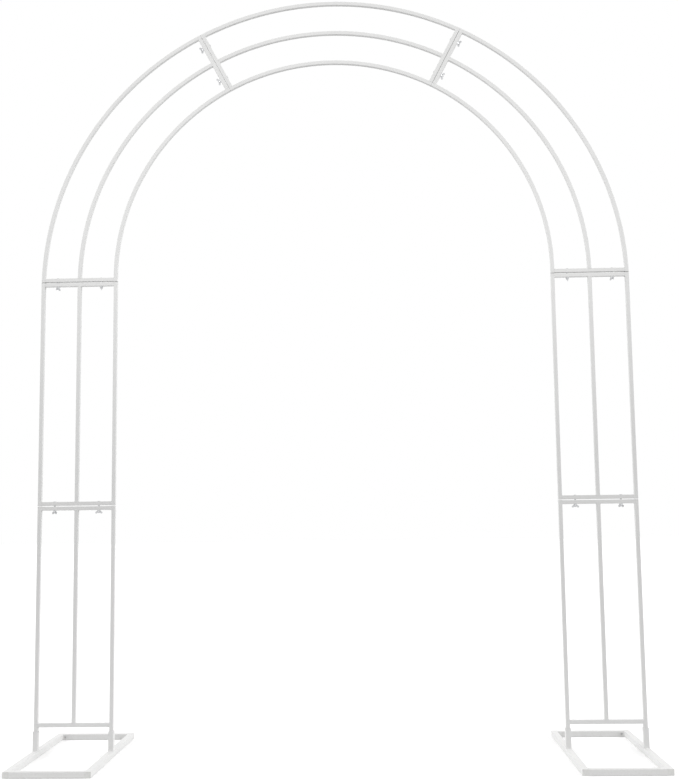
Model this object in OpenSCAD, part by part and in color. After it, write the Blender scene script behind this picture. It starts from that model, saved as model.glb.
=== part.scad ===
// Wedding arch of white square steel tube.
// Two flat foot frames carry two ladder-like legs in two lengths each; three
// bent tubes side by side, in three sections, close the arch above them.
// The sections stand end to end and are bolted together through their cross rails.
// Origin on the floor, midway between the legs. X across the arch, Y to the back, Z up.

/* [Overall] */
// Distance between the middle tubes of the two legs
span = 1740; // [1500:10:2000]
// Height at which the straight legs end and the curve begins
springing_height = 1584; // [1400:4:1800]
// Height of the bolted joint half way up each leg
mid_joint_height = 820; // [700:5:1000]
// Distance between neighbouring tubes in the legs
pitch = 125; // [105:1:150]
// Distance between neighbouring tubes at the top of the curve
crown_pitch = 107; // [95:1:125]
// Angle above the springing line at which the side arches meet the crown section
crown_joint_angle = 62.5; // [50:0.5:70]

/* [Arch tube] */
// Side of the square tube of legs and curve
tube = 13; // [12:0.5:16]
// Wall of that tube
tube_wall = 1; // [0.8:0.1:1.5]
// Gap left where two sections meet at the mid leg and springing joints
seam = 1.6; // [0.4:0.2:2]
// Gap left where two sections meet at the crown joints
crown_seam = 0.4; // [0.2:0.1:0.8]
// How far the cross rails sit back from the mid leg and springing joints
rail_setback = 1.5; // [1:0.5:3]
// How far the cross rails sit back from the crown joints, where they all but touch
crown_setback = 0.5; // [0.5:0.5:3]
// Height of the middle of the lowest cross rail above the floor
foot_rail_height = 103; // [98:1:130]

/* [Foot frames] */
// Side of the square tube of the foot frames
base_tube = 20; // [18:1:24]
// Wall of that tube
base_wall = 1.2; // [1:0.1:2]
// Depth of each foot frame from front to back
base_depth = 600; // [450:10:700]
// Height of the sockets above the foot frame
socket_height = 63; // [50:1:68]
// Wall of the sockets
socket_wall = 1.5; // [1.2:0.1:2]
// Play between a post and its socket, on each side
socket_play = 1; // [0.4:0.1:1]
// Diameter of the vent hole in the front of each back rail
vent_d = 5; // [4:0.5:6]
// Distance of the vent hole from the outer side rail
vent_inset = 9; // [7:1:12]
// Thickness of the face of an end plug
plug_face = 2; // [1.5:0.5:3]
// Length of the stub of an end plug inside the rail
plug_stub = 12; // [8:1:20]
// Wall of that stub
plug_wall = 1.5; // [1.2:0.1:2]
// Play between an end plug and the rail around it, on each side
plug_play = 0.2; // [0.1:0.1:0.3]

/* [Bolts and wing nuts] */
// Diameter of the bolts
bolt_d = 6; // [5:0.5:7]
// Play of a bolt in its holes and in its wing nut, across the diameter
bolt_play = 0.5; // [0.3:0.1:0.8]
// Place of each bolt along its rail, as a share of the rail from its nearer end
bolt_share = 0.2; // [0.15:0.01:0.25]
// Diameter of the domed bolt head
head_d = 13; // [11:0.5:13]
// Height of the bolt head
head_h = 1.5; // [1.2:0.1:3]
// Length of bolt standing out of its wing nut
bolt_tip = 3; // [2:1:8]
// Diameter of a wing nut's hub at its seat
hub_d = 11.5; // [10.5:0.5:12]
// Height of the hub
hub_h = 7; // [6:0.5:9]
// How much narrower the hub is at its free end
hub_taper = 2.5; // [1:0.5:3]
// Span over the wings of a wing nut
wing_span = 24; // [22:1:30]
// Height of the wing tips above the seat of the nut
wing_h = 12; // [11:0.5:16]
// Radius of the rounded wing tips
wing_tip_r = 3.4; // [3:0.1:4]
// Thickness of the wings
wing_t = 2.2; // [1.8:0.1:3]
// Turn from one wing nut to the next, as they were left when tightened
nut_turn = 37; // [0:1:90]

/* [Hidden] */
$fn = 96;

half_span = span / 2;
INNER = -1;
MIDDLE = 0;
OUTER = 1;
rail_depth = rail_setback + tube;
crown_rail_depth = crown_setback + tube;
socket_hole = tube + 2 * socket_play;
socket_side = socket_hole + 2 * socket_wall;
bolt_hole = bolt_d + bolt_play;
overrun = 3;
white = [0.93, 0.93, 0.92];
zinc = [0.8, 0.8, 0.8];

// The tubes follow three lines: inner, middle and outer. Each is a circle through its own post at
// the springing line, and the inner and outer circles have their centres a little above and below
// that line, which draws the tubes together towards the top.
function line_x(line) = half_span + line * pitch;
function centre_z(line) = line * (crown_pitch - pitch);
function bend_radius(line) = sqrt(pow(line_x(line), 2) + pow(centre_z(line), 2));

// Distance from the arch centre to a tube line, along the radius at angle a.
function reach(line, a) =
  centre_z(line) * sin(a) + sqrt(pow(bend_radius(line), 2) - pow(centre_z(line) * cos(a), 2));

// Distance of a cross rail's far face from the end of its section, for the joint at angle a.
function depth_at(a) = a > 0 ? crown_rail_depth : rail_depth;

// How far a tube stops short of the joint at angle a.
function cut_at(a) = (a > 0 ? crown_seam : seam) / 2;

// Places of the two bolts along the cross rail at angle a.
function bolt_places(a) =
  let (inner = reach(INNER, a), outer = reach(OUTER, a), inset = bolt_share * (outer - inner))
  [inner + inset, outer - inset];

// Square with round corners.
module rounded_square(side, r) {
  square([side - 2 * r, side], center = true);
  square([side, side - 2 * r], center = true);
  for (x = [-1, 1]) for (y = [-1, 1]) translate([x, y] * (side / 2 - r)) circle(r, $fn = 32);
}

// Section of rolled square tube: corners are rounded by half a wall inside, one and a half outside.
module tube_section(side, wall) {
  difference() {
    rounded_square(side, 1.5 * wall);
    rounded_square(side - 2 * wall, wall / 2);
  }
}

// Square tube standing on the origin.
module tube_up(length, side, wall) {
  linear_extrude(length) tube_section(side, wall);
}

// Square tube lying along X, centred on the origin.
module tube_across(length, side, wall) {
  translate([-length / 2, 0, 0]) rotate([0, 90, 0]) tube_up(length, side, wall);
}

// The right half is drawn in place, and its mirror image is the left half.
module left() {
  mirror([1, 0, 0]) children();
}

// Frame on the radius at angle a: X outward, Z along the curve.
module on_radius(a) {
  translate([0, 0, springing_height]) rotate([0, -a, 0]) children();
}

// Frame of the plane of the arch, for shapes drawn flat: X across, Y up from the springing line.
module in_arch_plane() {
  translate([0, 0, springing_height]) rotate([90, 0, 0]) children();
}

// Legs

module post(line, z0, z1) {
  translate([line_x(line), 0, z0]) tube_up(z1 - z0, tube, tube_wall);
}

// Straight cross rail of a leg, its middle at height z, with holes for two bolts if it is bolted.
module leg_rail(z, bolted) {
  translate([0, 0, z]) difference() {
    translate([half_span, 0, 0]) tube_across(2 * pitch - tube, tube, tube_wall);
    if (bolted) bolt_holes(0);
  }
}

module bolt_holes(a) {
  for (x = bolt_places(a)) translate([x, 0, -tube]) cylinder(h = 2 * tube, d = bolt_hole);
}

module lower_post(line) post(line, base_tube, mid_joint_height - seam / 2);
module lower_bar() post(MIDDLE, foot_rail_height + tube / 2, mid_joint_height - rail_depth);
module lower_rails() {
  leg_rail(foot_rail_height, false);
  leg_rail(mid_joint_height - rail_depth + tube / 2, true);
}

module upper_post(line) post(line, mid_joint_height + seam / 2, springing_height - seam / 2);
module upper_bar() post(MIDDLE, mid_joint_height + rail_depth, springing_height - rail_depth);
module upper_rails() {
  leg_rail(mid_joint_height + rail_depth - tube / 2, true);
  leg_rail(springing_height - rail_depth + tube / 2, true);
}

// Curve

// Everything beyond the end of a section whose end plane lies at angle a, and depth more of the
// section itself; way is 1 where the section starts and -1 where it ends.
module beyond(a, way, depth) {
  block = 2 * bend_radius(OUTER) * sin(overrun);
  on_radius(a) translate([half_span, 0, way * (depth - block / 2)])
    cube([4 * pitch, 2 * tube, block], center = true);
}

// Bent tube of a section between angles a0 and a1, cut back by cut0 and cut1 from its end planes.
module bent_tube(line, a0, a1, cut0, cut1) {
  difference() {
    in_arch_plane() translate([0, centre_z(line), 0]) rotate([0, 0, a0 - overrun])
      rotate_extrude(angle = a1 - a0 + 2 * overrun, $fn = 360)
        translate([bend_radius(line), 0]) tube_section(tube, tube_wall);
    beyond(a0, 1, cut0);
    beyond(a1, -1, cut1);
  }
}

// Outer and inner tubes run to the joints; the middle one stops at the cross rails.
module full_tube(line, a0, a1) bent_tube(line, a0, a1, cut_at(a0), cut_at(a1));
module middle_tube(a0, a1) bent_tube(MIDDLE, a0, a1, depth_at(a0), depth_at(a1));

// Cross rail at the end of a bent section, coped to the outer and inner tubes.
module bent_rail(a, way) {
  intersection() {
    on_radius(a) translate([0, 0, way * (depth_at(a) - tube / 2)]) difference() {
      translate([half_span, 0, 0]) tube_across(2 * pitch, tube, tube_wall);
      bolt_holes(a);
    }
    in_arch_plane() difference() {
      translate([0, centre_z(OUTER), 0])
        cylinder(h = 2 * tube, r = bend_radius(OUTER) - tube / 2, center = true, $fn = 360);
      translate([0, centre_z(INNER), 0])
        cylinder(h = 3 * tube, r = bend_radius(INNER) + tube / 2, center = true, $fn = 360);
    }
  }
}

module side_arch_rails() {
  bent_rail(0, 1);
  bent_rail(crown_joint_angle, -1);
}

// Foot frames

// The cross rails are welded between the side rails, which run the full depth.
module base_cross_rail(way) {
  translate([half_span, way * (base_depth - base_tube) / 2, base_tube / 2])
    tube_across(2 * pitch - base_tube, base_tube, base_wall);
}

// The hole lies near the outer end, in the face that looks into the frame.
module base_back_rail() {
  difference() {
    base_cross_rail(1);
    translate([line_x(OUTER) - base_tube / 2 - vent_inset, base_depth / 2 - base_tube, base_tube / 2])
      rotate([90, 0, 0]) cylinder(h = base_tube, d = vent_d, center = true);
  }
}

module at_side_rails() {
  for (line = [INNER, OUTER]) translate([line_x(line), 0, 0]) children();
}

module base_side_rails() {
  length = base_depth - 2 * plug_face;
  at_side_rails() translate([0, length / 2, base_tube / 2]) rotate([90, 0, 0])
    tube_up(length, base_tube, base_wall);
}

module base_sockets() {
  at_side_rails() translate([0, 0, base_tube]) tube_up(socket_height, socket_side, socket_wall);
}

module end_plug() {
  stub = base_tube - 2 * base_wall - 2 * plug_play;
  linear_extrude(plug_face) rounded_square(base_tube, 1.5 * base_wall);
  tube_up(plug_face + plug_stub, stub, plug_wall);
}

module base_end_plugs() {
  at_side_rails() for (turn = [0, 180])
    rotate([0, 0, turn]) translate([0, -base_depth / 2, base_tube / 2]) rotate([-90, 0, 0]) end_plug();
}

// Bolts and wing nuts, in a frame whose origin lies in the seam and whose Z points to the bolt head;
// depth is the distance from the seam to the far face of either rail

module bolt(depth) {
  length = 2 * depth + hub_h + bolt_tip;
  dome_r = (pow(head_h, 2) + pow(head_d / 2, 2)) / (2 * head_h);
  translate([0, 0, depth]) intersection() {
    translate([0, 0, head_h - dome_r]) sphere(dome_r);
    cylinder(h = head_h + 1, d = head_d + 1);
  }
  translate([0, 0, depth - length]) cylinder(h = length + head_h / 2, d = bolt_d);
}

// Flat outline of one wing, from inside the hub to its rounded tip.
module wing() {
  root = [hub_d / 4, -hub_h / 2];
  tip = [wing_span / 2 - wing_tip_r, wing_tip_r - wing_h];
  along = (tip - root) / norm(tip - root);
  across = [-along.y, along.x];
  root_half = hub_h / 3;
  translate(tip) circle(wing_tip_r);
  polygon([
    root + across * root_half,
    root - across * root_half,
    tip - across * wing_tip_r,
    tip + across * wing_tip_r
  ]);
}

module wing_nut(depth) {
  translate([0, 0, -depth]) difference() {
    union() {
      translate([0, 0, -hub_h]) cylinder(h = hub_h, d1 = hub_d - hub_taper, d2 = hub_d);
      for (turn = [0, 180]) rotate([0, 0, turn]) translate([0, wing_t / 2, 0]) rotate([90, 0, 0])
        linear_extrude(wing_t) wing();
    }
    translate([0, 0, -wing_h]) cylinder(h = 2 * wing_h, d = bolt_d + bolt_play);
  }
}

// The joints of one half have two bolts each: those of the leg and springing, and that of the crown.
module at_leg_joints() {
  for (i = [0, 1]) {
    translate([bolt_places(0)[i], 0, mid_joint_height]) rotate([0, 0, nut_turn * i]) children();
    on_radius(0) translate([bolt_places(0)[i], 0, 0]) rotate([0, 0, nut_turn * (i + 2)]) children();
  }
}

module at_crown_joint() {
  for (i = [0, 1]) on_radius(crown_joint_angle)
    translate([bolt_places(crown_joint_angle)[i], 0, 0]) rotate([0, 0, nut_turn * (i + 4)]) children();
}

// Pieces

module base_right_front_rail() color(white) base_cross_rail(-1);
module base_right_back_rail() color(white) base_back_rail();
module base_right_side_rails() color(white) base_side_rails();
module base_right_sockets() color(white) base_sockets();
module base_right_end_plugs() color(white) base_end_plugs();
module base_left_front_rail() left() base_right_front_rail();
module base_left_back_rail() left() base_right_back_rail();
module base_left_side_rails() left() base_right_side_rails();
module base_left_sockets() left() base_right_sockets();
module base_left_end_plugs() left() base_right_end_plugs();

module lower_leg_right_outer_post() color(white) lower_post(OUTER);
module lower_leg_right_middle_bar() color(white) lower_bar();
module lower_leg_right_inner_post() color(white) lower_post(INNER);
module lower_leg_right_rails() color(white) lower_rails();
module lower_leg_left_outer_post() left() lower_leg_right_outer_post();
module lower_leg_left_middle_bar() left() lower_leg_right_middle_bar();
module lower_leg_left_inner_post() left() lower_leg_right_inner_post();
module lower_leg_left_rails() left() lower_leg_right_rails();

module upper_leg_right_outer_post() color(white) upper_post(OUTER);
module upper_leg_right_middle_bar() color(white) upper_bar();
module upper_leg_right_inner_post() color(white) upper_post(INNER);
module upper_leg_right_rails() color(white) upper_rails();
module upper_leg_left_outer_post() left() upper_leg_right_outer_post();
module upper_leg_left_middle_bar() left() upper_leg_right_middle_bar();
module upper_leg_left_inner_post() left() upper_leg_right_inner_post();
module upper_leg_left_rails() left() upper_leg_right_rails();

module side_arch_right_outer_tube() color(white) full_tube(OUTER, 0, crown_joint_angle);
module side_arch_right_middle_tube() color(white) middle_tube(0, crown_joint_angle);
module side_arch_right_inner_tube() color(white) full_tube(INNER, 0, crown_joint_angle);
module side_arch_right_rails() color(white) side_arch_rails();
module side_arch_left_outer_tube() left() side_arch_right_outer_tube();
module side_arch_left_middle_tube() left() side_arch_right_middle_tube();
module side_arch_left_inner_tube() left() side_arch_right_inner_tube();
module side_arch_left_rails() left() side_arch_right_rails();

module crown_outer_tube() color(white) full_tube(OUTER, crown_joint_angle, 180 - crown_joint_angle);
module crown_middle_tube() color(white) middle_tube(crown_joint_angle, 180 - crown_joint_angle);
module crown_inner_tube() color(white) full_tube(INNER, crown_joint_angle, 180 - crown_joint_angle);
module crown_rails() color(white) {
  bent_rail(crown_joint_angle, 1);
  left() bent_rail(crown_joint_angle, 1);
}

module bolts_right() color(zinc) {
  at_leg_joints() bolt(rail_depth);
  at_crown_joint() bolt(crown_rail_depth);
}
module bolts_left() left() bolts_right();
module wing_nuts_right() color(zinc) {
  at_leg_joints() wing_nut(rail_depth);
  at_crown_joint() wing_nut(crown_rail_depth);
}
module wing_nuts_left() left() wing_nuts_right();

base_left_front_rail();
base_left_back_rail();
base_left_side_rails();
base_left_sockets();
base_right_front_rail();
base_right_back_rail();
base_right_side_rails();
base_right_sockets();
base_left_end_plugs();
base_right_end_plugs();
lower_leg_left_outer_post();
lower_leg_left_middle_bar();
lower_leg_left_inner_post();
lower_leg_left_rails();
lower_leg_right_outer_post();
lower_leg_right_middle_bar();
lower_leg_right_inner_post();
lower_leg_right_rails();
upper_leg_left_outer_post();
upper_leg_left_middle_bar();
upper_leg_left_inner_post();
upper_leg_left_rails();
upper_leg_right_outer_post();
upper_leg_right_middle_bar();
upper_leg_right_inner_post();
upper_leg_right_rails();
side_arch_left_outer_tube();
side_arch_left_middle_tube();
side_arch_left_inner_tube();
side_arch_left_rails();
side_arch_right_outer_tube();
side_arch_right_middle_tube();
side_arch_right_inner_tube();
side_arch_right_rails();
crown_outer_tube();
crown_middle_tube();
crown_inner_tube();
crown_rails();
bolts_left();
bolts_right();
wing_nuts_left();
wing_nuts_right();
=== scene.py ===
"""Wedding arch of white powder-coated square tube: its finishes, weld beads, bolt threads and stage.

The packed model gives every tube, plug, bolt and wing nut. This file adds the weld beads and the
threads that show below the wing nuts, gives every piece its finish, and sets floor, lamps and camera.
Lengths are in metres.
"""

import math

import bmesh
import bpy
from bpy.props import FloatProperty
from bpy.props import FloatVectorProperty
from bpy.props import PointerProperty
from bpy.types import Operator
from bpy.types import Panel
from bpy.types import PropertyGroup
from mathutils import Matrix
from mathutils import Vector


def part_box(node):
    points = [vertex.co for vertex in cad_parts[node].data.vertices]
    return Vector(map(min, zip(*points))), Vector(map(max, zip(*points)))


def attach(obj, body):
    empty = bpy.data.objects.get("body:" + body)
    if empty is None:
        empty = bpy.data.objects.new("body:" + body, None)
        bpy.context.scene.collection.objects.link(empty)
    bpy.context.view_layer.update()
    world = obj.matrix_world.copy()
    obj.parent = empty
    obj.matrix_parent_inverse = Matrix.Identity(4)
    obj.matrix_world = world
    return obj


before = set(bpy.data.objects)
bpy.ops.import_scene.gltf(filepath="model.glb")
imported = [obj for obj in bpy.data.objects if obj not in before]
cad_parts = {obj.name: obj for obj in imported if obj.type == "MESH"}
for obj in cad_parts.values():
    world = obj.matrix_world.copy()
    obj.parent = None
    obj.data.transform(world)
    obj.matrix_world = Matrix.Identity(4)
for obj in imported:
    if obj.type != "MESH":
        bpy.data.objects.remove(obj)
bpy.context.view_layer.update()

bl_info = {
    "name": "Wedding Arch",
    "version": (1, 0, 0),
    "blender": (4, 5, 0),
    "location": "3D View > Sidebar > Wedding Arch",
    "description": "Finishes, weld beads, bolt threads and studio stage of a square-tube wedding arch",
    "category": "Object",
}

# Sizes that the packed model already has are read from it.


def low(node, axis):
    """Lowest place of a node along an axis, 0 for x, 1 for y and 2 for z."""
    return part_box(node)[0][axis]


def high(node, axis):
    """Highest place of a node along an axis."""
    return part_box(node)[1][axis]


def middle(node, axis):
    """Middle of a node along an axis."""
    return (low(node, axis) + high(node, axis)) / 2


UPRIGHTS = ("inner_post", "middle_bar", "outer_post")
RINGS = ("crown_inner_tube", "crown_middle_tube", "crown_outer_tube")
TUBE = high("upper_leg_right_inner_post", 0) - low("upper_leg_right_inner_post", 0)
HALF = TUBE / 2
LINES = tuple(middle("upper_leg_right_" + upright, 0) for upright in UPRIGHTS)
MID_JOINT = (high("lower_leg_right_inner_post", 2) + low("upper_leg_right_inner_post", 2)) / 2
SPRINGING = (high("upper_leg_right_inner_post", 2) + low("side_arch_right_inner_tube", 2)) / 2
FOOT_TOP = low("lower_leg_right_inner_post", 2)
SOCKET = high("base_right_sockets", 0) - low("base_right_sockets", 0) - (LINES[2] - LINES[0])
SIDE_RAIL = high("base_right_side_rails", 0) - low("base_right_side_rails", 0) - (LINES[2] - LINES[0])

# These lie inside the packed model, so they are written here as the model has them.
CROWN_ANGLE = math.radians(62.5)
SETBACK = 0.0015
CROWN_SETBACK = 0.0005
FOOT_RAIL = 0.103
BOLT_SHARE = 0.2
NUT_HUB = 0.007
BOLT_TIP = 0.003
BOLT_RADIUS = 0.003

# A socket is nearly as wide as its rail, so its bead is drawn in over the rail's rounded edges.
SOCKET_BEAD_INSET = 0.0007

# A rail's bead starts this far from the rail's face at the joint, so that it stays out of the gap.
BEAD_START = 0.001

# A bead on a foot frame's top seam stops this far short of the outer face of the front or back rail.
SEAM_END = 0.0015

# Weld beads: how their corners are rounded, their sides, their steps, and how their ripples wander.
BEAD_CORNER_RADIUS = 0.0012
BEAD_CORNER_STEPS = 3
BEAD_SIDES = 8
STEPS_IN_RIPPLE = 4
WANDER_SIZE = 0.009
WANDER_TURN = 5

# Bolt threads: steps in a turn, sides of the ridge, and the share of its width sunk in the bolt.
THREAD_STEPS = 24
RIDGE_SIDES = 4
RIDGE_SUNK_SHARE = 1 / 3

WHITE = (1.0, 1.0, 1.0, 1.0)


def ring_rise(line, node):
    """How far above the springing line a ring's centre lies, from its line there and its top."""
    top = high(node, 2) - HALF - SPRINGING
    return (top * top - line * line) / (2 * top)


RISES = tuple(ring_rise(line, node) for line, node in zip(LINES, RINGS))


def ring_reach(index, angle, offset):
    """Distance from the springing centre to a ring's middle line, at an angle and beside it."""
    rise = RISES[index]
    radius_squared = LINES[index] ** 2 + rise ** 2
    across = rise * math.cos(angle) - offset
    return rise * math.sin(angle) + math.sqrt(radius_squared - across * across)


class BoltedJoint:
    """A plane where two sections meet: a point on it, its way outward, and its way up through it."""

    def __init__(self, side, height, angle, is_bent):
        self.setback = CROWN_SETBACK if angle > 0 else SETBACK
        self.origin = Vector((0, 0, height))
        self.outward = Vector((side * math.cos(angle), 0, math.sin(angle)))
        self.upward = Vector((-side * math.sin(angle), 0, math.cos(angle)))
        self.angle = angle
        self.is_bent = is_bent

    def reach(self, index, offset=0.0):
        """Distance along the plane to the inner, middle or outer tube, beside the plane by offset."""
        if self.is_bent and (offset > 0 or self.angle > 0):
            return ring_reach(index, self.angle, offset)
        return LINES[index]

    def point(self, along, offset, depth):
        """A point that lies along the plane, offset through it and at a depth from front to back."""
        return self.origin + self.outward * along + self.upward * offset + Vector((0, depth, 0))

    def bolts(self):
        """Where the two bolts pass, along the plane."""
        inner = self.reach(0)
        outer = self.reach(2)
        share = (outer - inner) * BOLT_SHARE
        return (inner + share, outer - share)


def bolted_joints():
    """The six joints: middle of the leg, springing and crown on either side."""
    joints = []
    for side in (-1, 1):
        joints.append(BoltedJoint(side, MID_JOINT, 0.0, False))
        joints.append(BoltedJoint(side, SPRINGING, 0.0, True))
        joints.append(BoltedJoint(side, SPRINGING, CROWN_ANGLE, True))
    return joints


# Node trees, for shaders and for geometry.


class Number:
    """A number socket that takes Python's arithmetic and adds a Math node for each step."""

    def __init__(self, net, socket):
        self.net = net
        self.socket = socket

    def __add__(self, other):
        return self.net.math("ADD", self, other)

    def __radd__(self, other):
        return self.net.math("ADD", other, self)

    def __sub__(self, other):
        return self.net.math("SUBTRACT", self, other)

    def __mul__(self, other):
        return self.net.math("MULTIPLY", self, other)

    def __truediv__(self, other):
        return self.net.math("DIVIDE", self, other)

    def __abs__(self):
        return self.net.math("ABSOLUTE", self)


class Net:
    """A node tree in which every node is added the same way."""

    def __init__(self, tree):
        self.tree = tree

    @staticmethod
    def pick(sockets, key):
        """A socket by its identifier, or by its name where no identifier is the same."""
        for socket in sockets:
            if socket.identifier == key:
                return socket
        return sockets[key]

    def add(self, kind, settings, sockets):
        """A node of a kind: its settings are made first, then the values or links of its sockets."""
        node = self.tree.nodes.new(kind)
        for key, value in settings.items():
            setattr(node, key, value)
        for key, value in sockets.items():
            target = self.pick(node.inputs, key)
            if isinstance(value, Number):
                value = value.socket
            if isinstance(value, bpy.types.NodeSocket):
                self.tree.links.new(value, target)
            else:
                target.default_value = value
        return node

    def math(self, operation, *values):
        """A Math node on one, two or three values."""
        keys = ("Value", "Value_001", "Value_002")
        node = self.add("ShaderNodeMath", {"operation": operation}, dict(zip(keys, values)))
        return Number(self, node.outputs[0])

    def limit(self, value):
        """A value held between 0 and 1."""
        node = self.add("ShaderNodeClamp", {}, {"Value": value})
        return Number(self, node.outputs[0])

    def fade(self, value, start, end):
        """0 at start and 1 at end, smooth between, whichever of the two is larger."""
        settings = {"interpolation_type": "SMOOTHSTEP"}
        sockets = {"Value": value, "From Min": start, "From Max": end}
        node = self.add("ShaderNodeMapRange", settings, sockets)
        return Number(self, node.outputs[0])

    def noise(self, place, size, detail):
        """Soft noise around 0.5 whose patches are about size across."""
        sockets = {"Vector": place, "Scale": 1 / size, "Detail": detail}
        node = self.add("ShaderNodeTexNoise", {}, sockets)
        return Number(self, node.outputs[0])

    def blend(self, factor, first, second):
        """One colour turning into another."""
        settings = {"data_type": "RGBA"}
        sockets = {"Factor_Float": factor, "A_Color": first, "B_Color": second}
        node = self.add("ShaderNodeMix", settings, sockets)
        return self.pick(node.outputs, "Result_Color")

    def mix(self, factor, first, second):
        """One shader node turning into another."""
        sockets = {"Fac": factor, "Shader": first.outputs[0], "Shader_001": second.outputs[0]}
        return self.add("ShaderNodeMixShader", {}, sockets)

    def axes(self, vector):
        """The three numbers of a vector."""
        node = self.add("ShaderNodeSeparateXYZ", {}, {"Vector": vector})
        return tuple(Number(self, socket) for socket in node.outputs)


def rgba(colour):
    """A colour setting with its alpha."""
    return (colour[0], colour[1], colour[2], 1.0)


def shade(colour, share):
    """A colour turned lighter or darker by a share."""
    return tuple(min(1.0, part * share) for part in colour)


def new_finish(name, metallic):
    """A material with an empty surface: its net, its shader and where the surface lies."""
    material = bpy.data.materials.new(name)
    material.use_nodes = True
    net = Net(material.node_tree)
    material.node_tree.nodes.clear()
    shader = net.add("ShaderNodeBsdfPrincipled", {}, {"Metallic": metallic})
    net.add("ShaderNodeOutputMaterial", {}, {"Surface": shader.outputs[0]})
    place = net.add("ShaderNodeTexCoord", {}, {}).outputs["Object"]
    return material, net, shader, place


def give_surface(net, shader, colour, roughness, height, depth):
    """Link what varies over a surface to its shader."""
    bump = net.add("ShaderNodeBump", {}, {"Strength": 1.0, "Distance": depth, "Height": height})
    for key, value in (("Base Color", colour), ("Roughness", roughness), ("Normal", bump.outputs[0])):
        source = value.socket if isinstance(value, Number) else value
        net.tree.links.new(source, shader.inputs[key])


# The largest part of a tube's normal on its flats, and where its corner counts as full.
CORNER_FADE = (0.995, 0.8)


def face_normal(net):
    """The three numbers of the face's normal."""
    return net.axes(net.add("ShaderNodeNewGeometry", {}, {}).outputs["True Normal"])


def corner_of_panel(net):
    """1 on the rounded corners of a tube that runs in the plane of the arch, 0 on its flats."""
    across, deep, up = face_normal(net)
    in_plane = net.math("SQRT", across * across + up * up)
    flat = net.math("MAXIMUM", in_plane, abs(deep))
    return net.fade(flat, *CORNER_FADE)


def corner_of_foot(net):
    """1 on the rounded corners of a tube that lies along x, y or z, 0 on its flats."""
    across, deep, up = face_normal(net)
    flat = net.math("MAXIMUM", net.math("MAXIMUM", abs(across), abs(deep)), abs(up))
    return net.fade(flat, *CORNER_FADE)


# Powder coat: patch sizes, noise values at which each mark begins and is full, tints and shares.
CLOUD_SIZE = 0.22
GRAIN_SIZE = 0.006
SPECK_SIZE = 0.0028
CLOUD_FADE = (0.3, 0.7)
THIN_FADE = (0.35, 0.75)
DUST_FADE = (0.3, 0.8)
RUB_FADE = (0.74, 0.8)
RUBBED_AREA_FADE = (0.5, 0.62)
CLOUD_TINT = 0.97
THIN_TINT = 0.72
DUST_COLOUR = (0.50, 0.47, 0.43)
RUB_COLOUR = (0.42, 0.42, 0.43)
CLOUD_ROUGHNESS = 0.10
DUST_ROUGHNESS = 0.2
RUB_ROUGHNESS = 0.15
GRAIN_HEIGHT = 0.35
RUB_DEPTH = 0.6


def powder_coat(name, settings, corner):
    """White powder coat: orange peel, thin at the corners, a breath of dust low down, a few rubs."""
    material, net, shader, place = new_finish(name, 0.0)
    height_above_floor = net.axes(place)[2]
    cloud = net.noise(place, CLOUD_SIZE, 2.0)
    grain = net.noise(place, GRAIN_SIZE, 3.0)
    speck = net.noise(place, SPECK_SIZE, 1.0)
    peel = net.noise(place, settings.peel_size, 1.0)
    thin = corner(net) * net.fade(grain, *THIN_FADE)
    dusty = net.fade(height_above_floor, settings.dust_height, 0.0) * net.fade(grain, *DUST_FADE)
    rubbed = net.fade(speck, *RUB_FADE) * net.fade(cloud, *RUBBED_AREA_FADE)
    base = rgba(settings.colour)
    tinted = rgba(shade(settings.colour, CLOUD_TINT))
    colour = net.blend(net.fade(cloud, *CLOUD_FADE), tinted, base)
    thinned = rgba(shade(settings.colour, THIN_TINT))
    colour = net.blend(thin * settings.corner_shade, colour, thinned)
    colour = net.blend(dusty * settings.dust, colour, rgba(DUST_COLOUR))
    colour = net.blend(rubbed * settings.rubs, colour, rgba(RUB_COLOUR))
    roughness = settings.roughness + (cloud - 0.5) * CLOUD_ROUGHNESS
    roughness = roughness + dusty * DUST_ROUGHNESS + rubbed * RUB_ROUGHNESS
    height = peel + grain * GRAIN_HEIGHT - rubbed * RUB_DEPTH
    give_surface(net, shader, colour, roughness, height, settings.peel_depth)
    return material


# Zinc plate: patch sizes, noise values at which a nick begins and is full, tints, shares and depth.
ZINC_PATCH_SIZE = 0.004
ZINC_MARK_SIZE = 0.0009
NICK_FADE = (0.62, 0.72)
ZINC_PATCH_TINT = 0.86
NICK_TINT = 0.62
NICK_SHARE = 0.25
ZINC_PATCH_ROUGHNESS = 0.22
NICK_ROUGHNESS = 0.1
NICK_DEPTH = 0.7
ZINC_MARK_DEPTH = 0.00003


def zinc_plate(name, settings):
    """Bright zinc plate on bolts and wing nuts: faint barrel marks and duller patches."""
    material, net, shader, place = new_finish(name, 1.0)
    patch = net.noise(place, ZINC_PATCH_SIZE, 3.0)
    mark = net.noise(place, ZINC_MARK_SIZE, 2.0)
    nick = net.fade(mark, *NICK_FADE)
    dull = rgba(shade(settings.colour, ZINC_PATCH_TINT))
    colour = net.blend(patch, dull, rgba(settings.colour))
    nicked = rgba(shade(settings.colour, NICK_TINT))
    colour = net.blend(nick * NICK_SHARE, colour, nicked)
    roughness = settings.roughness + (patch - 0.5) * ZINC_PATCH_ROUGHNESS + nick * NICK_ROUGHNESS
    give_surface(net, shader, colour, roughness, mark - nick * NICK_DEPTH, ZINC_MARK_DEPTH)
    return material


# Plug plastic: patch sizes, noise values at which dirt begins and is full, tint, share and depth.
PLUG_TEXTURE_SIZE = 0.0007
PLUG_PATCH_SIZE = 0.009
DIRT_FADE = (0.35, 0.8)
DIRT_TINT = 0.88
PLUG_PATCH_ROUGHNESS = 0.12
PLUG_TEXTURE_DEPTH = 0.00004


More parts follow.
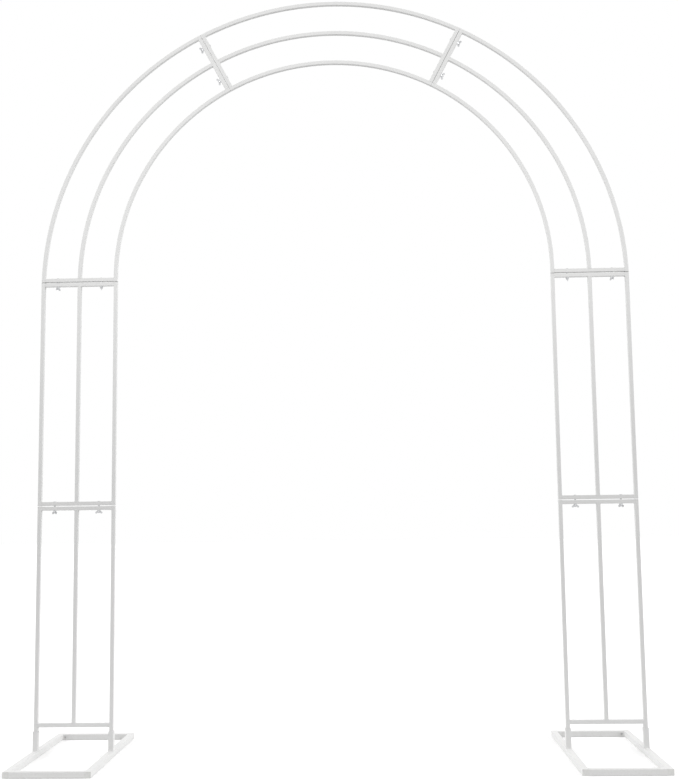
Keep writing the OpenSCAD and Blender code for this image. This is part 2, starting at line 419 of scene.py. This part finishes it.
def plug_plastic(name, settings):
    """White moulded plastic of the end plugs: fine spark texture and a little dirt."""
    material, net, shader, place = new_finish(name, 0.0)
    texture = net.noise(place, PLUG_TEXTURE_SIZE, 2.0)
    patch = net.noise(place, PLUG_PATCH_SIZE, 2.0)
    dirty = rgba(shade(settings.colour, DIRT_TINT))
    colour = net.blend(net.fade(patch, *DIRT_FADE), rgba(settings.colour), dirty)
    roughness = settings.roughness + (patch - 0.5) * PLUG_PATCH_ROUGHNESS
    give_surface(net, shader, colour, roughness, texture, PLUG_TEXTURE_DEPTH)
    return material


def dress(node, material):
    """Give a packed node its finish in every slot it has."""
    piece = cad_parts[node]
    if not piece.material_slots:
        raise RuntimeError("no material slot on " + node)
    for place in piece.material_slots:
        place.material = material


def nodes_named(*words):
    """The packed nodes whose names start with one of the words."""
    names = sorted(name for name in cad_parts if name.startswith(words))
    if not names:
        raise RuntimeError("no packed node is named " + " or ".join(words))
    return names


# Paths of the weld beads.


class BeadPaths:
    """Lines along which a bead runs, kept as one mesh of edges."""

    def __init__(self):
        self.mesh = bmesh.new()

    def add(self, points, is_closed):
        """One bead through the points, closed to a loop or open."""
        corners = [self.mesh.verts.new(point) for point in points]
        for first, second in zip(corners, corners[1:]):
            self.mesh.edges.new((first, second))
        if is_closed:
            self.mesh.edges.new((corners[-1], corners[0]))

    def to_object(self, name):
        """The lines as an object in the scene."""
        mesh = bpy.data.meshes.new(name)
        self.mesh.to_mesh(mesh)
        self.mesh.free()
        piece = bpy.data.objects.new(name, mesh)
        bpy.context.scene.collection.objects.link(piece)
        return piece


def weld_rail_ends(paths, joint, way, sink):
    """The beads of the cross rail above (way 1) or below (way -1) a joint plane, on either tube."""
    near = way * (joint.setback + BEAD_START)
    far = way * (joint.setback + TUBE)
    depth = HALF - sink
    for index, turn in ((0, 1), (2, -1)):
        points = []
        for offset, y in ((near, -depth), (far, -depth), (far, depth), (near, depth)):
            face = joint.reach(index, offset) + turn * HALF
            points.append(joint.point(face, offset, y))
        paths.add(points, False)


def weld_middle_tube(paths, joint, way, sink):
    """The bead round the middle tube where it ends on a cross rail."""
    face = way * (joint.setback + TUBE)
    depth = HALF - sink
    centre = joint.reach(1, face)
    points = []
    for along, y in ((-HALF, -depth), (HALF, -depth), (HALF, depth), (-HALF, depth)):
        points.append(joint.point(centre + along, face, y))
    paths.add(points, True)


def weld_foot_rail(paths, side, sink):
    """The beads of the lowest cross rail, all round its ends and under the middle bar."""
    depth = HALF - sink
    for line, turn in ((LINES[0], 1), (LINES[2], -1)):
        x = side * (line + turn * HALF)
        points = []
        for y, z in ((-depth, -HALF), (depth, -HALF), (depth, HALF), (-depth, HALF)):
            points.append(Vector((x, y, FOOT_RAIL + z)))
        paths.add(points, True)
    points = []
    for x, y in ((-HALF, -depth), (HALF, -depth), (HALF, depth), (-HALF, depth)):
        points.append(Vector((side * LINES[1] + x, y, FOOT_RAIL + HALF)))
    paths.add(points, True)


def weld_panels(paths, sink):
    """Every bead of the leg panels and of the bent sections."""
    for joint in bolted_joints():
        for way in (-1, 1):
            weld_rail_ends(paths, joint, way, sink)
            weld_middle_tube(paths, joint, way, sink)
    for side in (-1, 1):
        weld_foot_rail(paths, side, sink)


def weld_feet(paths, sink):
    """The beads of the foot frames: inside the corners, over the top seams, and round the sockets."""
    front = low("base_right_front_rail", 1)
    back = high("base_right_back_rail", 1)
    reach = SOCKET / 2
    edge = reach - SOCKET_BEAD_INSET
    for side in (-1, 1):
        for line, turn in ((LINES[0], 1), (LINES[2], -1)):
            seam = side * (line + turn * SIDE_RAIL / 2)
            for end, way in ((front, 1), (back, -1)):
                inside = end + way * SIDE_RAIL
                points = (
                    Vector((seam, inside, sink)),
                    Vector((seam, inside, FOOT_TOP - sink)),
                    Vector((seam, end + way * SEAM_END, FOOT_TOP - sink)),
                )
                paths.add(points, False)
            x = side * line
            corners = ((-edge, -reach), (edge, -reach), (edge, reach), (-edge, reach))
            paths.add([Vector((x + a, b, FOOT_TOP)) for a, b in corners], True)


# Geometry Nodes trees.


def new_tree(name, inputs):
    """A geometry tree with its named inputs: the tree's net, its input node and its output node."""
    tree = bpy.data.node_groups.new(name, "GeometryNodeTree")
    tree.interface.new_socket("Geometry", in_out="INPUT", socket_type="NodeSocketGeometry")
    for label, kind in inputs:
        tree.interface.new_socket(label, in_out="INPUT", socket_type=kind)
    tree.interface.new_socket("Geometry", in_out="OUTPUT", socket_type="NodeSocketGeometry")
    net = Net(tree)
    return net, net.add("NodeGroupInput", {}, {}).outputs


def finish_tree(net, given, geometry):
    """End a tree in plain smooth geometry with its material."""
    real = net.add("GeometryNodeRealizeInstances", {}, {"Geometry": geometry})
    smooth = net.add("GeometryNodeSetShadeSmooth", {}, {"Geometry": real.outputs[0]})
    sockets = {"Geometry": smooth.outputs[0], "Material": given["Material"]}
    coated = net.add("GeometryNodeSetMaterial", {}, sockets)
    net.add("NodeGroupOutput", {}, {"Geometry": coated.outputs[0]})
    return net.tree


def bead_tree():
    """A rippled bead swept along every line of a mesh."""
    inputs = (
        ("Bead Radius", "NodeSocketFloat"),
        ("Ripple Length", "NodeSocketFloat"),
        ("Ripple Share", "NodeSocketFloat"),
        ("Corner Radius", "NodeSocketFloat"),
        ("Material", "NodeSocketMaterial"),
    )
    net, given = new_tree("weld_bead", inputs)
    line = net.add("GeometryNodeMeshToCurve", {}, {"Mesh": given["Geometry"]})
    sockets = {
        "Curve": line.outputs[0],
        "Count": BEAD_CORNER_STEPS,
        "Radius": given["Corner Radius"],
        "Limit Radius": True,
    }
    rounded = net.add("GeometryNodeFilletCurve", {"mode": "POLY"}, sockets)
    step = Number(net, given["Ripple Length"]) / STEPS_IN_RIPPLE
    sockets = {"Curve": rounded.outputs[0], "Length": step}
    even = net.add("GeometryNodeResampleCurve", {"mode": "LENGTH"}, sockets)
    length = Number(net, net.add("GeometryNodeSplineParameter", {}, {}).outputs["Length"])
    place = net.add("GeometryNodeInputPosition", {}, {}).outputs[0]
    wander = net.noise(place, WANDER_SIZE, 1.0)
    turn = length / Number(net, given["Ripple Length"]) * (2 * math.pi) + wander * WANDER_TURN
    wave = net.math("SINE", turn)
    share = Number(net, given["Ripple Share"])
    swell = 1 + wave * share + (wander - 0.5) * share
    sockets = {"Resolution": BEAD_SIDES, "Radius": given["Bead Radius"]}
    ring = net.add("GeometryNodeCurvePrimitiveCircle", {}, sockets)
    sockets = {
        "Curve": even.outputs[0],
        "Profile Curve": ring.outputs[0],
        "Scale": swell,
        "Fill Caps": True,
    }
    bead = net.add("GeometryNodeCurveToMesh", {}, sockets)
    return finish_tree(net, given, bead.outputs[0])


def thread_tree():
    """A screw thread's ridge on every point of a mesh, along the point's axis."""
    inputs = (
        ("Thread Radius", "NodeSocketFloat"),
        ("Pitch", "NodeSocketFloat"),
        ("Length", "NodeSocketFloat"),
        ("Ridge Radius", "NodeSocketFloat"),
        ("Material", "NodeSocketMaterial"),
    )
    net, given = new_tree("bolt_thread", inputs)
    length = Number(net, given["Length"])
    sockets = {
        "Resolution": THREAD_STEPS,
        "Rotations": length / Number(net, given["Pitch"]),
        "Start Radius": given["Thread Radius"],
        "End Radius": given["Thread Radius"],
        "Height": given["Length"],
    }
    spiral = net.add("GeometryNodeCurveSpiral", {}, sockets)
    upright = net.add("GeometryNodeSetCurveNormal", {"mode": "Z_UP"}, {"Curve": spiral.outputs[0]})
    sockets = {"Resolution": RIDGE_SIDES, "Radius": given["Ridge Radius"]}
    ridge = net.add("GeometryNodeCurvePrimitiveCircle", {}, sockets)
    sockets = {"Curve": upright.outputs[0], "Profile Curve": ridge.outputs[0], "Fill Caps": True}
    thread = net.add("GeometryNodeCurveToMesh", {}, sockets)
    vector = {"data_type": "FLOAT_VECTOR"}
    attribute = net.add("GeometryNodeInputNamedAttribute", vector, {"Name": "axis"})
    sockets = {"Vector": attribute.outputs[0]}
    turned = net.add("FunctionNodeAlignRotationToVector", {"axis": "Z"}, sockets)
    points = net.add("GeometryNodeMeshToPoints", {}, {"Mesh": given["Geometry"]})
    sockets = {
        "Points": points.outputs[0],
        "Instance": thread.outputs[0],
        "Rotation": turned.outputs[0],
    }
    placed = net.add("GeometryNodeInstanceOnPoints", {}, sockets)
    return finish_tree(net, given, placed.outputs[0])


def grow(piece, tree, values):
    """Run a tree on an object with the values of its named inputs, and keep the result as its mesh."""
    modifier = piece.modifiers.new(tree.name, "NODES")
    modifier.node_group = tree
    for item in tree.interface.items_tree:
        if item.item_type == "SOCKET" and item.name in values:
            modifier[item.identifier] = values[item.name]
    bpy.context.view_layer.update()
    graph = bpy.context.evaluated_depsgraph_get()
    made = bpy.data.meshes.new_from_object(piece.evaluated_get(graph), depsgraph=graph)
    piece.modifiers.remove(modifier)
    piece.data = made
    if not made.polygons:
        raise RuntimeError("nothing grew on " + piece.name)
    return piece


# Settings that a user would change.


class CoatSettings(PropertyGroup):
    """The powder coat of the tubes."""

    colour: FloatVectorProperty(
        name="Colour",
        description="Colour of the powder coat on every tube",
        subtype="COLOR",
        min=0.0,
        max=1.0,
        default=(0.79, 0.79, 0.785),
    )
    roughness: FloatProperty(
        name="Roughness",
        description="How dull the powder coat is",
        subtype="FACTOR",
        min=0.05,
        max=0.95,
        default=0.42,
    )
    peel_size: FloatProperty(
        name="Orange peel size",
        description="Size of the ripples in the coat",
        unit="LENGTH",
        min=0.0005,
        max=0.01,
        default=0.0022,
    )
    peel_depth: FloatProperty(
        name="Orange peel depth",
        description="Depth of the ripples in the coat",
        unit="LENGTH",
        min=0.0,
        max=0.0005,
        default=0.00003,
    )
    corner_shade: FloatProperty(
        name="Thin corners",
        description="How much the coat darkens where it pulls thin over the tube's corners",
        subtype="FACTOR",
        min=0.0,
        max=1.0,
        default=0.35,
    )
    dust: FloatProperty(
        name="Dust",
        description="How much dust lies on the coat near the floor",
        subtype="FACTOR",
        min=0.0,
        max=1.0,
        default=0.12,
    )
    dust_height: FloatProperty(
        name="Dust height",
        description="Height above the floor up to which dust shows",
        unit="LENGTH",
        min=0.005,
        max=0.5,
        default=0.06,
    )
    rubs: FloatProperty(
        name="Rub marks",
        description="How dark the small rub marks in the coat are",
        subtype="FACTOR",
        min=0.0,
        max=1.0,
        default=0.22,
    )


class PlugSettings(PropertyGroup):
    """The plastic end plugs."""

    colour: FloatVectorProperty(
        name="Colour",
        description="Colour of the end plugs",
        subtype="COLOR",
        min=0.0,
        max=1.0,
        default=(0.77, 0.77, 0.755),
    )
    roughness: FloatProperty(
        name="Roughness",
        description="How dull the plugs are",
        subtype="FACTOR",
        min=0.05,
        max=0.95,
        default=0.55,
    )


class ZincSettings(PropertyGroup):
    """The zinc-plated bolts and wing nuts."""

    colour: FloatVectorProperty(
        name="Colour",
        description="Colour of the zinc plate",
        subtype="COLOR",
        min=0.0,
        max=1.0,
        default=(0.58, 0.585, 0.595),
    )
    roughness: FloatProperty(
        name="Roughness",
        description="How dull the zinc plate is",
        subtype="FACTOR",
        min=0.05,
        max=0.95,
        default=0.28,
    )
    pitch: FloatProperty(
        name="Thread pitch",
        description="Distance from one turn of the thread to the next",
        unit="LENGTH",
        min=0.0005,
        max=0.002,
        default=0.001,
    )
    ridge: FloatProperty(
        name="Thread ridge",
        description="Half the width of the thread's ridge",
        unit="LENGTH",
        min=0.0001,
        max=0.0008,
        default=0.0004,
    )


class WeldSettings(PropertyGroup):
    """The weld beads."""

    radius: FloatProperty(
        name="Bead radius",
        description="Radius of a bead where two tubes meet at a right angle",
        unit="LENGTH",
        min=0.0005,
        max=0.003,
        default=0.0015,
    )
    sink: FloatProperty(
        name="Depth on flush seams",
        description="How deep the bead's middle lies under a seam between two flush faces",
        unit="LENGTH",
        min=0.0,
        max=0.003,
        default=0.0011,
    )
    ripple: FloatProperty(
        name="Ripple length",
        description="Distance from one ripple of the bead to the next",
        unit="LENGTH",
        min=0.0005,
        max=0.005,
        default=0.0016,
    )
    ripple_share: FloatProperty(
        name="Ripple height",
        description="How much the bead swells and narrows, as a share of its radius",
        subtype="FACTOR",
        min=0.0,
        max=0.4,
        default=0.10,
    )


class StageSettings(PropertyGroup):
    """Floor, lamps and camera."""

    floor_size: FloatProperty(
        name="Floor size",
        description="Length of each side of the floor",
        unit="LENGTH",
        min=4.0,
        max=200.0,
        default=60.0,
    )
    floor_shade: FloatProperty(
        name="Floor shade",
        description="How much of the light the floor away from the feet throws back onto the arch",
        subtype="FACTOR",
        min=0.0,
        max=1.0,
        default=0.45,
    )
    # Painted pool of light: the floor close to the feet throws back more light than the floor further
    # out.
    painted_light_pool: FloatProperty(
        name="Near floor shade",
        description="How much of the light the floor close to the feet throws back",
        subtype="FACTOR",
        min=0.0,
        max=1.0,
        default=0.70,
    )
    floor_glow: FloatProperty(
        name="Floor glow",
        description="Light added to the floor as the camera sees it, which pales the shadows",
        min=0.0,
        max=1.0,
        default=0.10,
    )
    sky: FloatProperty(
        name="Soft light",
        description="Strength of the even light from all round",
        min=0.0,
        max=3.0,
        default=0.66,
    )
    lamp: FloatProperty(
        name="Side lamps",
        description="Strength of each of the two soft lamps at the sides",
        min=0.0,
        max=10.0,
        default=1.45,
    )
    lamp_height: FloatProperty(
        name="Lamp height",
        description="Angle of the lamps above the floor",
        unit="ROTATION",
        min=0.0,
        max=math.pi / 2,
        default=math.radians(30),
    )
    lamp_side: FloatProperty(
        name="Lamp side",
        description="Angle by which each lamp stands to its side of the front",
        unit="ROTATION",
        min=0.0,
        max=math.pi,
        default=math.radians(84),
    )
    lamp_softness: FloatProperty(
        name="Lamp softness",
        description="Angle that each lamp fills as seen from the arch",
        unit="ROTATION",
        min=0.0,
        max=math.pi,
        default=math.radians(40),
    )
    high_lamp: FloatProperty(
        name="High lamps",
        description="Power of each of the two soft lamps on the curve, in watts",
        min=0.0,
        max=1000.0,
        default=75.0,
    )
    high_lamp_place: FloatVectorProperty(
        name="High lamp place",
        description="Where the right one of the high lamps hangs; the left one mirrors it",
        subtype="XYZ",
        unit="LENGTH",
        default=(1.5, -3.2, 2.4),
    )
    high_lamp_aim: FloatVectorProperty(
        name="High lamp aim",
        description="The point at which the right one of the high lamps is aimed",
        subtype="XYZ",
        unit="LENGTH",
        default=(0.55, 0.0, 2.3),
    )
    high_lamp_cone: FloatProperty(
        name="High lamp cone",
        description="Angle of the cone of each high lamp, which fades out towards its edge",
        unit="ROTATION",
        min=0.1,
        max=math.pi,
        default=math.radians(60),
    )
    camera_place: FloatVectorProperty(
        name="Camera place",
        description="Where the camera stands",
        subtype="XYZ",
        unit="LENGTH",
        default=(0.142, -3.7176, 0.7774),
    )
    camera_yaw: FloatProperty(
        name="Camera turn",
        description="How far the camera is turned to the left",
        unit="ROTATION",
        default=math.radians(1.905),
    )
    camera_pitch: FloatProperty(
        name="Camera rise",
        description="How far the camera looks up",
        unit="ROTATION",
        default=math.radians(6.347),
    )
    camera_roll: FloatProperty(
        name="Camera tilt",
        description="How far the camera leans to the right",
        unit="ROTATION",
        default=math.radians(0.714),
    )
    lens: FloatProperty(
        name="Lens",
        description="Focal length of the camera on a 36 mm wide sensor",
        min=10.0,
        max=300.0,
        default=58.83,
    )


SETTINGS = (
    ("arch_coat", CoatSettings),
    ("arch_plugs", PlugSettings),
    ("arch_zinc", ZincSettings),
    ("arch_welds", WeldSettings),
    ("arch_stage", StageSettings),
)


# One operator for each group of like pieces, and one for the stage.


class ARCH_OT_coat_panels(Operator):
    """Powder coat the leg panels, the side arch sections and the crown"""

    bl_idname = "arch.coat_panels"
    bl_label = "Coat Panels and Arch"

    def execute(self, context):
        coat = powder_coat("powder_coat_panels", context.scene.arch_coat, corner_of_panel)
        for node in nodes_named("lower_leg", "upper_leg", "side_arch", "crown"):
            dress(node, coat)
        return {"FINISHED"}


class ARCH_OT_coat_feet(Operator):
    """Powder coat the foot frames and their sockets"""

    bl_idname = "arch.coat_feet"
    bl_label = "Coat Foot Frames"

    def execute(self, context):
        coat = powder_coat("powder_coat_feet", context.scene.arch_coat, corner_of_foot)
        for node in nodes_named("base"):
            if not node.endswith("end_plugs"):
                dress(node, coat)
        return {"FINISHED"}


class ARCH_OT_finish_plugs(Operator):
    """Give the end plugs their moulded plastic"""

    bl_idname = "arch.finish_plugs"
    bl_label = "Finish End Plugs"

    def execute(self, context):
        plastic = plug_plastic("plug_plastic", context.scene.arch_plugs)
        for side in ("left", "right"):
            dress("base_" + side + "_end_plugs", plastic)
        return {"FINISHED"}


class ARCH_OT_plate_fastenings(Operator):
    """Give the bolts and wing nuts their zinc plate and make the threads that show"""

    bl_idname = "arch.plate_fastenings"
    bl_label = "Plate Bolts and Wing Nuts"

    def execute(self, context):
        settings = context.scene.arch_zinc
        zinc = zinc_plate("zinc_plate", settings)
        for node in nodes_named("bolts", "wing_nuts"):
            dress(node, zinc)
        places = []
        axes = []
        for joint in bolted_joints():
            start = joint.setback + TUBE + NUT_HUB
            for along in joint.bolts():
                places.append(joint.point(along, -start, 0))
                axes.append(-joint.upward)
        mesh = bpy.data.meshes.new("bolt_threads")
        mesh.from_pydata([tuple(place) for place in places], [], [])
        attribute = mesh.attributes.new("axis", "FLOAT_VECTOR", "POINT")
        for item, axis in zip(attribute.data, axes):
            item.vector = axis
        threads = bpy.data.objects.new("bolt_threads", mesh)
        context.scene.collection.objects.link(threads)
        values = {
            "Thread Radius": BOLT_RADIUS - settings.ridge * RIDGE_SUNK_SHARE,
            "Pitch": settings.pitch,
            "Length": BOLT_TIP - settings.ridge,
            "Ridge Radius": settings.ridge,
            "Material": zinc,
        }
        grow(threads, thread_tree(), values)
        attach(threads, "root")
        return {"FINISHED"}


class ARCH_OT_lay_welds(Operator):
    """Lay the weld beads of the panels, the bent sections and the foot frames"""

    bl_idname = "arch.lay_welds"
    bl_label = "Lay Weld Beads"

    def execute(self, context):
        settings = context.scene.arch_welds
        tree = bead_tree()
        parts = (
            ("panel_weld_beads", weld_panels, "powder_coat_panels"),
            ("foot_weld_beads", weld_feet, "powder_coat_feet"),
        )
        for name, lay, coat in parts:
            paths = BeadPaths()
            lay(paths, settings.sink)
            piece = paths.to_object(name)
            values = {
                "Bead Radius": settings.radius,
                "Ripple Length": settings.ripple,
                "Ripple Share": settings.ripple_share,
                "Corner Radius": BEAD_CORNER_RADIUS,
                "Material": bpy.data.materials[coat],
            }
            grow(piece, tree, values)
            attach(piece, "root")
        return {"FINISHED"}


class ARCH_OT_set_stage(Operator):
    """Set the pale floor, the soft light and the camera"""

    bl_idname = "arch.set_stage"
    bl_label = "Set Stage"

    def execute(self, context):
        settings = context.scene.arch_stage
        context.scene.view_settings.view_transform = "Standard"
        build_floor(context.scene, settings)
        light_scene(context.scene, settings)
        place_camera(context.scene, settings)
        return {"FINISHED"}


def seen_directly(net):
    """1 for rays from the camera, also by way of gloss or glass, and 0 for rays that light things."""
    path = net.add("ShaderNodeLightPath", {}, {}).outputs
    camera_ray = Number(net, path["Is Camera Ray"])
    glossy_ray = Number(net, path["Is Glossy Ray"])
    glass_ray = Number(net, path["Is Transmission Ray"])
    return net.limit(camera_ray + glossy_ray + glass_ray)


# Distances from the middle of a foot frame at which the floor's painted pool of light, paler for the
# light it throws back, ends and its far shade starts.
PAINTED_POOL_FADE = (0.35, 1.1)
FLOOR_WHITE = 0.97


def build_floor(scene, settings):
    """A white floor that keeps the arch's shadow, and throws back less light than it shows, with a
    painted pool of light around the feet.
    """
    reach = settings.floor_size / 2
    mesh = bpy.data.meshes.new("floor")
    corners = [(-reach, -reach, 0), (reach, -reach, 0), (reach, reach, 0), (-reach, reach, 0)]
    mesh.from_pydata(corners, [], [(0, 1, 2, 3)])
    floor = bpy.data.objects.new("floor", mesh)
    scene.collection.objects.link(floor)
    material = bpy.data.materials.new("floor_white")
    material.use_nodes = True
    material.node_tree.nodes.clear()
    net = Net(material.node_tree)
    across, deep = net.axes(net.add("ShaderNodeTexCoord", {}, {}).outputs["Object"])[:2]
    aside = abs(across) - LINES[1]
    distance = net.math("SQRT", aside * aside + deep * deep)
    # Painted pool of light: the floor near each foot throws more light back onto the feet and lower
    # legs.
    near = net.add("ShaderNodeBsdfDiffuse", {}, {"Color": rgba((settings.painted_light_pool,) * 3)})
    far = net.add("ShaderNodeBsdfDiffuse", {}, {"Color": rgba((settings.floor_shade,) * 3)})
    lit = net.mix(net.fade(distance, *PAINTED_POOL_FADE), near, far)
    white = net.add("ShaderNodeBsdfDiffuse", {}, {"Color": rgba((FLOOR_WHITE,) * 3)})
    glow = net.add("ShaderNodeEmission", {}, {"Color": WHITE, "Strength": settings.floor_glow})
    sockets = {"Shader": white.outputs[0], "Shader_001": glow.outputs[0]}
    shown = net.add("ShaderNodeAddShader", {}, sockets)
    mixed = net.mix(seen_directly(net), lit, shown)
    net.add("ShaderNodeOutputMaterial", {}, {"Surface": mixed.outputs[0]})
    mesh.materials.append(material)


# A side lamp lights evenly from any place, so this is only where its mark stands, on the right.
SIDE_LAMP_PLACE = Vector((4, -1, 2))
HIGH_LAMP_RADIUS = 0.4


def light_scene(scene, settings):
    """Even light from all round, white behind the arch, soft lamps at the sides and on the curve."""
    world = bpy.data.worlds.new("studio")
    scene.world = world
    world.use_nodes = True
    world.node_tree.nodes.clear()
    net = Net(world.node_tree)
    soft = net.add("ShaderNodeBackground", {}, {"Color": WHITE, "Strength": settings.sky})
    white = net.add("ShaderNodeBackground", {}, {"Color": WHITE, "Strength": 1.0})
    mixed = net.mix(seen_directly(net), soft, white)
    net.add("ShaderNodeOutputWorld", {}, {"Surface": mixed.outputs[0]})
    for name, side in (("left_lamp", -1), ("right_lamp", 1)):
        data = bpy.data.lights.new(name, "SUN")
        data.energy = settings.lamp
        data.angle = settings.lamp_softness
        lamp = bpy.data.objects.new(name, data)
        scene.collection.objects.link(lamp)
        turn = Matrix.Rotation(side * settings.lamp_side, 4, "Z")
        lean = Matrix.Rotation(math.pi / 2 - settings.lamp_height, 4, "X")
        mirror = Vector((side, 1, 1))
        lamp.matrix_world = Matrix.Translation(SIDE_LAMP_PLACE * mirror) @ turn @ lean
    for name, side in (("high_left_lamp", -1), ("high_right_lamp", 1)):
        data = bpy.data.lights.new(name, "SPOT")
        data.energy = settings.high_lamp
        data.spot_size = settings.high_lamp_cone
        data.spot_blend = 1.0
        data.shadow_soft_size = HIGH_LAMP_RADIUS
        lamp = bpy.data.objects.new(name, data)
        scene.collection.objects.link(lamp)
        mirror = Vector((side, 1, 1))
        place = settings.high_lamp_place * mirror
        aim = settings.high_lamp_aim * mirror - place
        turn = aim.to_track_quat("-Z", "Y").to_matrix().to_4x4()
        lamp.matrix_world = Matrix.Translation(place) @ turn


def place_camera(scene, settings):
    """A camera where the photograph was taken from."""
    data = bpy.data.cameras.new("camera")
    data.sensor_fit = "HORIZONTAL"
    data.sensor_width = 36.0
    data.lens = settings.lens
    camera = bpy.data.objects.new("camera", data)
    scene.collection.objects.link(camera)
    turn = Matrix.Rotation(settings.camera_yaw, 4, "Z")
    rise = Matrix.Rotation(settings.camera_pitch, 4, "X")
    roll = Matrix.Rotation(settings.camera_roll, 4, "Y")
    stand_up = Matrix.Rotation(math.pi / 2, 4, "X")
    camera.matrix_world = Matrix.Translation(settings.camera_place) @ turn @ rise @ roll @ stand_up
    scene.camera = camera


OPERATORS = (
    ARCH_OT_coat_panels,
    ARCH_OT_coat_feet,
    ARCH_OT_finish_plugs,
    ARCH_OT_plate_fastenings,
    ARCH_OT_lay_welds,
    ARCH_OT_set_stage,
)


class ARCH_PT_sidebar(Panel):
    """The arch's settings and operators in the 3D view's sidebar"""

    bl_idname = "ARCH_PT_sidebar"
    bl_label = "Wedding Arch"
    bl_space_type = "VIEW_3D"
    bl_region_type = "UI"
    bl_category = "Wedding Arch"

    def draw(self, context):
        for name, group in SETTINGS:
            box = self.layout.box()
            box.label(text=group.__doc__)
            settings = getattr(context.scene, name)
            for field in group.__annotations__:
                box.prop(settings, field)
        for operator in OPERATORS:
            self.layout.operator(operator.bl_idname)


def register():
    """Register the settings, the operators and the panel."""
    for name, group in SETTINGS:
        bpy.utils.register_class(group)
        setattr(bpy.types.Scene, name, PointerProperty(type=group))
    for operator in OPERATORS:
        bpy.utils.register_class(operator)
    bpy.utils.register_class(ARCH_PT_sidebar)


def unregister():
    """Take the panel, the operators and the settings away again."""
    bpy.utils.unregister_class(ARCH_PT_sidebar)
    for operator in reversed(OPERATORS):
        bpy.utils.unregister_class(operator)
    for name, group in reversed(SETTINGS):
        delattr(bpy.types.Scene, name)
        bpy.utils.unregister_class(group)


def main():
    """Dress the arch and set the stage."""
    register()
    bpy.ops.arch.coat_panels()
    bpy.ops.arch.coat_feet()
    bpy.ops.arch.finish_plugs()
    bpy.ops.arch.plate_fastenings()
    bpy.ops.arch.lay_welds()
    bpy.ops.arch.set_stage()
    bpy.context.view_layer.update()


if __name__ == "__main__":
    main()
